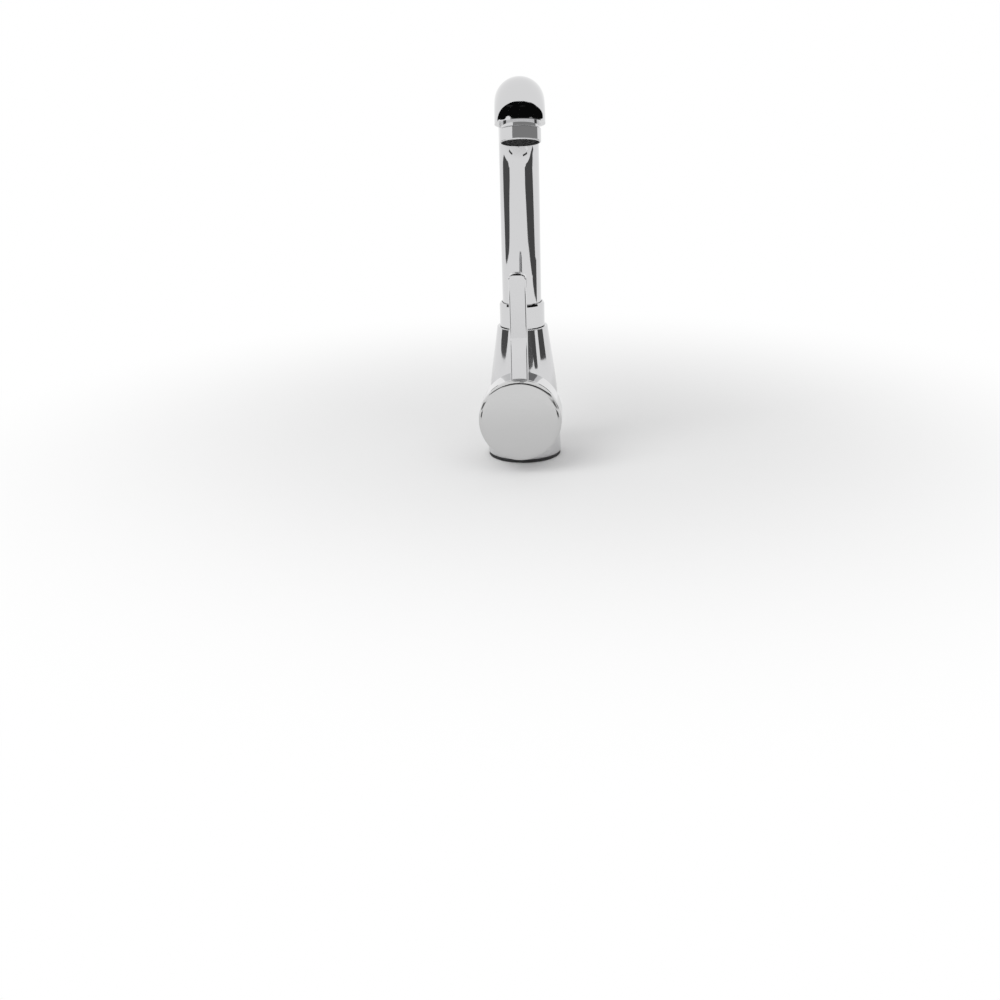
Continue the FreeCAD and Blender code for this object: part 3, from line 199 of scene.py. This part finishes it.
def makePlatedSteel():
    material, tree, output, coords = startMaterial("zinc_plated_steel")
    cloud = addNode(tree, "ShaderNodeTexNoise",
                    inputs={"Scale": patternScale(platedSteel["cloudMm"]), "Detail": 3.0, "Distortion": 0.8},
                    links=[("Vector", coords, "Object")])
    spread = addNode(tree, "ShaderNodeMapRange",
                     inputs={"From Min": platedSteel["clouded"][0], "From Max": platedSteel["clouded"][1]},
                     links=[("Value", cloud, "Fac")])
    tint = addNode(tree, "ShaderNodeMixRGB",
                   inputs={"Color1": toLinear(platedSteel["blue"]), "Color2": toLinear(platedSteel["yellow"])},
                   links=[("Fac", spread, "Result")])
    grain = addNode(tree, "ShaderNodeTexNoise",
                    inputs={"Scale": patternScale(platedSteel["grainMm"]), "Detail": 2.0},
                    links=[("Vector", coords, "Object")])
    gloss = addNode(tree, "ShaderNodeMapRange",
                    inputs={"From Min": noiseLow, "From Max": noiseHigh,
                            "To Min": platedSteel["roughness"][0], "To Max": platedSteel["roughness"][1]},
                    links=[("Value", grain, "Fac")])
    pits = addNode(tree, "ShaderNodeBump", inputs={"Strength": 1.0, "Distance": platedSteel["grainDepth"]},
                   links=[("Height", grain, "Fac")])
    shader = addNode(tree, "ShaderNodeBsdfPrincipled", inputs={"Metallic": 1.0},
                     links=[("Base Color", tint, "Color"), ("Roughness", gloss, "Result"),
                            ("Normal", pits, "Normal")])
    tree.links.new(shader.outputs["BSDF"], output.inputs["Surface"])
    return material


# what is moulded: nitrile rubber is matt black with a bloom of grey dust; acetal is slightly waxy, with the fine
# even grain of a spark-eroded mould; lapped alumina is dense, smooth and ivory white, with fine dark pores
mouldedRubber = {"name": "moulded_nitrile_rubber", "colour": "#202021", "second": "#313132", "patchMm": 3.5,
                 "grainMm": 0.5, "grainDepth": 3e-5, "roughness": (0.62, 0.85), "ior": 1.52, "specular": 0.5}
whiteAcetal = {"name": "moulded_acetal_white", "colour": "#ECEBE6", "second": "#E2E0D8", "patchMm": 9.0,
               "grainMm": 0.45, "grainDepth": 8e-6, "roughness": (0.34, 0.46), "ior": 1.48, "specular": 0.5}
greyAcetal = {"name": "moulded_acetal_grey", "colour": "#8B8D8F", "second": "#7F8183", "patchMm": 9.0,
              "grainMm": 0.45, "grainDepth": 8e-6, "roughness": (0.34, 0.46), "ior": 1.48, "specular": 0.5}
darkAcetal = {"name": "moulded_acetal_dark", "colour": "#151516", "second": "#1E1E1F", "patchMm": 4.0,
              "grainMm": 0.45, "grainDepth": 8e-6, "roughness": (0.6, 0.75), "ior": 1.48, "specular": 0.15}
lappedAlumina = {"name": "lapped_alumina", "colour": "#F0ECE3", "second": "#DDD8CC", "patchMm": 0.8,
                 "grainMm": 0.6, "grainDepth": 3e-6, "roughness": (0.16, 0.26), "ior": 1.77, "specular": 0.5}
patchLow, patchHigh = 0.4, 0.75  # the second colour comes in between these


def makeMoulded(look):
    material, tree, output, coords = startMaterial(look["name"])
    patches = addNode(tree, "ShaderNodeTexNoise", inputs={"Scale": patternScale(look["patchMm"]), "Detail": 4.0},
                      links=[("Vector", coords, "Object")])
    spread = addNode(tree, "ShaderNodeMapRange", inputs={"From Min": patchLow, "From Max": patchHigh},
                     links=[("Value", patches, "Fac")])
    tint = addNode(tree, "ShaderNodeMixRGB",
                   inputs={"Color1": toLinear(look["colour"]), "Color2": toLinear(look["second"])},
                   links=[("Fac", spread, "Result")])
    grain = addNode(tree, "ShaderNodeTexNoise", inputs={"Scale": patternScale(look["grainMm"]), "Detail": 2.0},
                    links=[("Vector", coords, "Object")])
    gloss = addNode(tree, "ShaderNodeMapRange",
                    inputs={"From Min": noiseLow, "From Max": noiseHigh,
                            "To Min": look["roughness"][0], "To Max": look["roughness"][1]},
                    links=[("Value", grain, "Fac")])
    skin = addNode(tree, "ShaderNodeBump", inputs={"Strength": 1.0, "Distance": look["grainDepth"]},
                   links=[("Height", grain, "Fac")])
    shader = addNode(tree, "ShaderNodeBsdfPrincipled",
                     inputs={"IOR": look["ior"], "Specular IOR Level": look["specular"]},
                     links=[("Base Color", tint, "Color"), ("Roughness", gloss, "Result"),
                            ("Normal", skin, "Normal")])
    tree.links.new(shader.outputs["BSDF"], output.inputs["Surface"])
    return material


finishes = {
    "chrome_brass": makeChrome(tubeChrome),
    "chrome_zinc": makeChrome(castChrome),
    "chrome_cap": makeSatinChrome(),
    "brass": makeTurnedBrass("Z"),
    "zinc_steel": makePlatedSteel(),
    "black_rubber": makeMoulded(mouldedRubber),
    "white_plastic": makeMoulded(whiteAcetal),
    "grey_plastic": makeMoulded(greyAcetal),
    "dark_plastic": makeMoulded(darkAcetal),
    "ceramic": makeMoulded(lappedAlumina),
}
levelBrass = makeTurnedBrass("Y")
turnedLevel = ["cartridge_stem", "cartridge_nut"]  # turned on the cartridge's level axis
subparts = frame["record"]["subparts"]
for row in subparts:
    name = row["node"]
    finish = levelBrass if name in turnedLevel else finishes[row["material_slot"]]
    nodes[name].data.materials.clear()
    nodes[name].data.materials.append(finish)
print("finishes given to", len(subparts), "nodes")

# the two studs are M6: a real thread takes the place of the plain solids
stud = {"crest": 2.98 * mm, "crestGap": 0.02 * mm,  # the crest stays just inside the plain solid
        "root": 2.4 * mm, "pitch": 1.0 * mm, "steps": 24,
        "rise": (0.12, 0.44), "fall": (0.56, 0.88),  # flanks, as shares of the pitch
        "extraTurns": 3, "leadIn": 1.5,  # turns past the ends, which are cut off
        "tipLength": 0.45 * mm, "tipScale": 0.8, "mergeDistance": 0.01 * mm, "cutDistance": 1e-7, "smoothAngle": 40.0}


def makeThreadedStuds():
    low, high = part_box("fixing_studs")
    centreX = (high.x - low.x) / 2 - stud["crest"] - stud["crestGap"]
    centreY = (low.y + high.y) / 2
    turns = round((high.z - low.z) / stud["pitch"]) + stud["extraTurns"]
    bpy.ops.object.select_all(action="DESELECT")
    bpy.ops.mesh.primitive_plane_add(size=1)
    piece = bpy.context.object
    # one pitch of the thread's outline, from root to crest and back, as a chain of edges
    bpy.ops.object.mode_set(mode="EDIT")
    bpy.ops.mesh.select_all(action="SELECT")
    bpy.ops.mesh.merge(type="CENTER")
    outline = [(stud["root"], 0.0), (stud["root"], stud["rise"][0]), (stud["crest"], stud["rise"][1]),
               (stud["crest"], stud["fall"][0]), (stud["root"], stud["fall"][1]), (stud["root"], 1.0)]
    bpy.ops.transform.translate(value=(outline[0][0], 0, 0))
    for (fromRadius, fromRise), (toRadius, toRise) in zip(outline, outline[1:]):
        step = (toRadius - fromRadius, 0, (toRise - fromRise) * stud["pitch"])
        bpy.ops.mesh.extrude_vertices_move(TRANSFORM_OT_translate={"value": step})
    bpy.ops.object.mode_set(mode="OBJECT")
    wind = piece.modifiers.new("wind", "SCREW")
    wind.axis = "Z"
    wind.screw_offset = stud["pitch"]
    wind.iterations = turns
    wind.steps = stud["steps"]
    wind.render_steps = stud["steps"]
    wind.use_merge_vertices = True
    wind.merge_threshold = stud["mergeDistance"]
    bpy.ops.object.modifier_apply(modifier="wind")
    piece.location = (-centreX, centreY, low.z - stud["leadIn"] * stud["pitch"])
    bpy.ops.object.transform_apply(location=True, rotation=True, scale=True)
    # cut square at both ends and closed there
    bpy.ops.object.mode_set(mode="EDIT")
    bpy.ops.mesh.select_all(action="SELECT")
    bpy.ops.mesh.remove_doubles(threshold=stud["mergeDistance"])
    for height, upper in ((low.z, False), (high.z, True)):
        bpy.ops.mesh.select_all(action="SELECT")
        bpy.ops.mesh.bisect(plane_co=(0, 0, height), plane_no=(0, 0, 1), use_fill=True,
                            threshold=stud["cutDistance"], clear_inner=not upper, clear_outer=upper)
    bpy.ops.mesh.select_all(action="SELECT")
    bpy.ops.mesh.normals_make_consistent(inside=False)
    # the foot's end is chamfered so that the nut starts
    bpy.ops.mesh.select_all(action="DESELECT")
    bpy.ops.object.mode_set(mode="OBJECT")
    for vertex in piece.data.vertices:
        vertex.select = vertex.co.z < low.z + stud["tipLength"]
    bpy.ops.object.mode_set(mode="EDIT")
    bpy.ops.transform.resize(value=(stud["tipScale"], stud["tipScale"], 1),
                             center_override=(-centreX, centreY, low.z))
    bpy.ops.object.mode_set(mode="OBJECT")
    bpy.ops.object.shade_smooth_by_angle(angle=math.radians(stud["smoothAngle"]))
    # the second stud is a copy with its own mesh, joined so that one piece stands for the node
    bpy.ops.object.duplicate()
    copy = bpy.context.object
    copy.location.x = 2 * centreX
    bpy.ops.object.transform_apply(location=True, rotation=True, scale=True)
    piece.select_set(True)
    bpy.context.view_layer.objects.active = piece
    bpy.ops.object.join()
    piece.name = "threaded_studs"
    piece.data.materials.clear()
    piece.data.materials.append(finishes["zinc_steel"])
    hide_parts("fixing_studs")
    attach(piece, "tap_body")
    return piece


studs = makeThreadedStuds()
print("studs threaded:", len(studs.data.polygons), "faces")

# the cap's front is slightly crowned. A merged copy of the solid is shaded as one smooth face up to its middle,
# where the solid's own triangles meet in a point
cap = {"mergeDistance": 0.002 * mm, "smoothAngle": 30.0}


def makeCapSkin():
    piece = bpy.data.objects.new("cap_skin", nodes["handle_cap"].data.copy())
    bpy.context.scene.collection.objects.link(piece)
    bpy.ops.object.select_all(action="DESELECT")
    piece.select_set(True)
    bpy.context.view_layer.objects.active = piece
    bpy.ops.mesh.customdata_custom_splitnormals_clear()
    bpy.ops.object.mode_set(mode="EDIT")
    bpy.ops.mesh.select_all(action="SELECT")
    bpy.ops.mesh.remove_doubles(threshold=cap["mergeDistance"])
    bpy.ops.object.mode_set(mode="OBJECT")
    bpy.ops.object.shade_smooth_by_angle(angle=math.radians(cap["smoothAngle"]))
    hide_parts("handle_cap")
    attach(piece, "handle")
    return piece


capSkin = makeCapSkin()
print("cap smoothed:", len(capSkin.data.polygons), "faces")


def addRayTest(tree):
    # 1 for what the camera sees, straight or in a mirror or through glass
    path = addNode(tree, "ShaderNodeLightPath")
    mirrored = addNode(tree, "ShaderNodeMath", settings={"operation": "MAXIMUM"},
                       links=[(0, path, "Is Camera Ray"), (1, path, "Is Glossy Ray")])
    return addNode(tree, "ShaderNodeMath", settings={"operation": "MAXIMUM"},
                   links=[(0, mirrored, "Value"), (1, path, "Is Transmission Ray")])


# pale floor, a hair under the base. It runs to plain white away from the tap, in the picture and in reflections
floorLook = {"size": 8.0, "height": -0.0002, "colour": "#F2F2F2", "fadeFrom": 0.1, "fadeTo": 0.45}


def addFloor():
    bpy.ops.object.select_all(action="DESELECT")
    bpy.ops.mesh.primitive_plane_add(size=floorLook["size"], location=(0, 0, floorLook["height"]))
    floor = bpy.context.object
    floor.name = "floor"
    material, tree, output, coords = startMaterial("painted_floor")
    distance = addNode(tree, "ShaderNodeVectorMath", settings={"operation": "LENGTH"},
                       links=[(0, coords, "Object")])
    fade = addNode(tree, "ShaderNodeMapRange", settings={"interpolation_type": "SMOOTHSTEP"},
                   inputs={"From Min": floorLook["fadeFrom"], "From Max": floorLook["fadeTo"]},
                   links=[("Value", distance, "Value")])
    seen = addRayTest(tree)
    amount = addNode(tree, "ShaderNodeMath", settings={"operation": "MULTIPLY"},
                     links=[(0, fade, "Result"), (1, seen, "Value")])
    paint = addNode(tree, "ShaderNodeBsdfDiffuse", inputs={"Color": toLinear(floorLook["colour"])})
    white = addNode(tree, "ShaderNodeEmission", inputs={"Color": (1, 1, 1, 1), "Strength": 1.0})
    mixed = addNode(tree, "ShaderNodeMixShader", links=[("Fac", amount, "Value"), (1, paint, "BSDF"),
                                                        (2, white, "Emission")])
    tree.links.new(mixed.outputs["Shader"], output.inputs["Surface"])
    floor.data.materials.append(material)


# painted reflections round the tap: sheets that glow at a set tone and paint the dark bands, and one bright streak,
# that make polished chrome read as metal. Only reflections see them. Each post is (degrees to the right of the front,
# distance, foot height, top height), sizes in metres
paintedReflections = [
    {"name": "painted_reflection_black", "tone": 0.004, "posts": [
        (-103, 0.45, 0.255, 0.27), (-95.6, 0.45, 0.275, 0.322), (-85, 0.45, 0.298, 0.387),
        (-76, 0.45, 0.312, 0.45), (-68, 0.45, 0.326, 0.508), (-60, 0.45, 0.34, 0.57), (-51, 0.45, 0.356, 0.645),
        (-43, 0.45, 0.388, 0.714), (-36, 0.45, 0.398, 0.775), (-28, 0.45, 0.398, 0.83), (-18, 0.45, 0.386, 0.877),
        (-8, 0.45, 0.383, 0.902), (2, 0.45, 0.383, 0.908), (12, 0.45, 0.383, 0.90), (22, 0.45, 0.383, 0.882),
        (30, 0.45, 0.384, 0.855), (36, 0.45, 0.39, 0.81), (43, 0.45, 0.385, 0.76), (50, 0.45, 0.365, 0.708),
        (60, 0.45, 0.346, 0.65), (70, 0.45, 0.33, 0.57), (82, 0.45, 0.312, 0.468), (92, 0.45, 0.295, 0.41),
        (102.7, 0.45, 0.275, 0.353), (110, 0.45, 0.262, 0.315), (117, 0.45, 0.255, 0.28)]},
    {"name": "grey_band", "tone": 0.275, "posts": [
        (-29, 0.47, 0.31, 0.44), (-20, 0.47, 0.29, 0.44), (20, 0.47, 0.28, 0.44), (45, 0.47, 0.27, 0.42),
        (70, 0.47, 0.25, 0.37), (95, 0.47, 0.25, 0.33)]},
    {"name": "faint_strip_left", "tone": 0.035, "posts": [
        (-57, 0.44, 0.532, 0.55), (-43, 0.44, 0.565, 0.588), (-34, 0.44, 0.585, 0.61), (-26, 0.44, 0.608, 0.616)]},
    {"name": "faint_strip_right", "tone": 0.03, "posts": [
        (4, 0.44, 0.612, 0.622), (16, 0.44, 0.612, 0.634), (28, 0.44, 0.605, 0.612)]},
    {"name": "painted_reflection_left", "tone": 0.095, "posts": [
        (-106, 0.45, 0.115, 0.145), (-103, 0.45, 0.085, 0.145), (-100, 0.45, 0.05, 0.145),
        (-95, 0.45, 0.0465, 0.145), (-90, 0.45, 0.0475, 0.145), (-84, 0.45, 0.05, 0.145), (-77, 0.45, 0.054, 0.145),
        (-70, 0.45, 0.059, 0.145), (-66, 0.45, 0.066, 0.145), (-63, 0.45, 0.08, 0.145), (-60, 0.45, 0.108, 0.145),
        (-55, 0.45, 0.125, 0.145)]},
    {"name": "painted_reflection_right", "tone": 0.085, "posts": [
        (34, 0.45, 0.12, 0.15), (39, 0.45, 0.098, 0.15), (43, 0.45, 0.076, 0.15), (46, 0.45, 0.067, 0.15),
        (50, 0.44, 0.0645, 0.15), (55, 0.40, 0.0625, 0.155), (60, 0.36, 0.0625, 0.16), (68, 0.31, 0.0625, 0.168),
        (76, 0.27, 0.0608, 0.17), (83, 0.25, 0.0583, 0.16), (88, 0.25, 0.0565, 0.125), (91, 0.25, 0.0553, 0.1),
        (94, 0.25, 0.054, 0.089), (102, 0.25, 0.0505, 0.086)]},
    {"name": "painted_reflection_far", "tone": 0.1, "posts": [(23, 1.0, 0.085, 0.15), (46, 1.0, 0.085, 0.15)]},
    # a glowing white sheet close to the body paints a bright streak on the chrome: a painted highlight
    {"name": "painted_highlight_streak", "tone": 1.0, "posts": [(55, 0.12, 0.03, 0.1), (69, 0.12, 0.03, 0.1)]},
    # two low strips paint dark reflections along the lever's edges
    {"name": "low_strip_left", "tone": 0.06, "posts": [(-68, 0.24, 0.001, 0.034), (-42, 0.24, 0.001, 0.034)]},
    {"name": "low_strip_right", "tone": 0.06, "posts": [(28, 0.24, 0.001, 0.034), (58, 0.24, 0.001, 0.034)]},
]
paintedSheetStep = 2.0  # degrees from one column of a card to the next
rounding = 1e-6


def postAt(posts, direction):
    # the painted sheet between two posts
    for before, after in zip(posts, posts[1:]):
        if direction <= after[0] + rounding:
            share = (direction - before[0]) / (after[0] - before[0])
            return [a + (b - a) * share for a, b in zip(before, after)]


def addPaintedReflection(paintedSheet):
    posts = paintedSheet["posts"]
    span = posts[-1][0] - posts[0][0]
    bpy.ops.object.select_all(action="DESELECT")
    bpy.ops.mesh.primitive_grid_add(x_subdivisions=math.ceil(span / paintedSheetStep), y_subdivisions=1, size=1)
    sheet = bpy.context.object
    sheet.name = paintedSheet["name"]
    for vertex in sheet.data.vertices:
        direction, distance, foot, top = postAt(posts, posts[0][0] + (vertex.co.x + 0.5) * span)
        angle = math.radians(direction)
        height = top if vertex.co.y > 0 else foot
        vertex.co = (distance * math.sin(angle), -distance * math.cos(angle), height)
    material, tree, output = startMaterial(paintedSheet["name"])[:3]
    # the sheet glows at its tone and is seen only in reflections: a painted reflection
    glow = addNode(tree, "ShaderNodeEmission", inputs={"Color": (1, 1, 1, 1), "Strength": paintedSheet["tone"]})
    tree.links.new(glow.outputs["Emission"], output.inputs["Surface"])
    sheet.data.materials.append(material)
    sheet.visible_camera = False
    sheet.visible_diffuse = False
    sheet.visible_shadow = False


# white room: plain white where the camera and reflections see it, and less of it as light on the floor
room = {"seen": 1.0, "light": 0.66}
# two large soft lamps in front, the stronger one on the left, so that the shadow falls back to the right
lamps = [{"name": "window_light", "place": (-0.8, -1.0, 0.9), "size": 1.2, "power": 11.0},
         {"name": "fill_light", "place": (0.5, -1.1, 0.9), "size": 1.2, "power": 3.0}]
lampAim = Vector((0, 0, 0.08))


def addRoom():
    world = bpy.data.worlds.new("white_room")
    bpy.context.scene.world = world
    world.use_nodes = True
    tree = world.node_tree
    tree.nodes.clear()
    output = addNode(tree, "ShaderNodeOutputWorld")
    seen = addRayTest(tree)
    strength = addNode(tree, "ShaderNodeMapRange", inputs={"To Min": room["light"], "To Max": room["seen"]},
                       links=[("Value", seen, "Value")])
    sky = addNode(tree, "ShaderNodeBackground", inputs={"Color": (1, 1, 1, 1)},
                  links=[("Strength", strength, "Result")])
    tree.links.new(sky.outputs["Background"], output.inputs["Surface"])


def addLamp(look):
    bpy.ops.object.light_add(type="AREA", location=look["place"])
    lamp = bpy.context.object
    lamp.name = look["name"]
    lamp.data.size = look["size"]
    lamp.data.energy = look["power"]
    lamp.rotation_euler = (lampAim - lamp.location).to_track_quat("-Z", "Y").to_euler()
    lamp.visible_glossy = False


# where the photograph was taken from: nearly in front, looking down, slightly rolled
cameraPlace = {"distance": 0.940, "height": 0.3008, "turn": 4.2, "pitch": 19.6, "roll": -1.5,
               "sideStep": 0.0176, "lens": 52.92, "sensor": 36.0, "nearest": 0.01}


def addCamera():
    turn = math.radians(cameraPlace["turn"])
    right = Vector((math.cos(turn), math.sin(turn), 0))
    away = Vector((math.sin(turn), -math.cos(turn), 0))
    place = away * cameraPlace["distance"] - right * cameraPlace["sideStep"]
    bpy.ops.object.camera_add(location=place + Vector((0, 0, cameraPlace["height"])))
    camera = bpy.context.object
    look = Matrix.Rotation(turn, 3, "Z") @ Matrix.Rotation(math.radians(90 - cameraPlace["pitch"]), 3, "X")
    camera.rotation_euler = (look @ Matrix.Rotation(math.radians(cameraPlace["roll"]), 3, "Z")).to_euler()
    camera.data.lens = cameraPlace["lens"]
    camera.data.sensor_width = cameraPlace["sensor"]
    camera.data.clip_start = cameraPlace["nearest"]
    bpy.context.scene.camera = camera


addFloor()
for paintedSheet in paintedReflections:
    addPaintedReflection(paintedSheet)
addRoom()
for lamp in lamps:
    addLamp(lamp)
addCamera()
bpy.context.scene.view_settings.view_transform = "Standard"
print("stage, light and camera set")
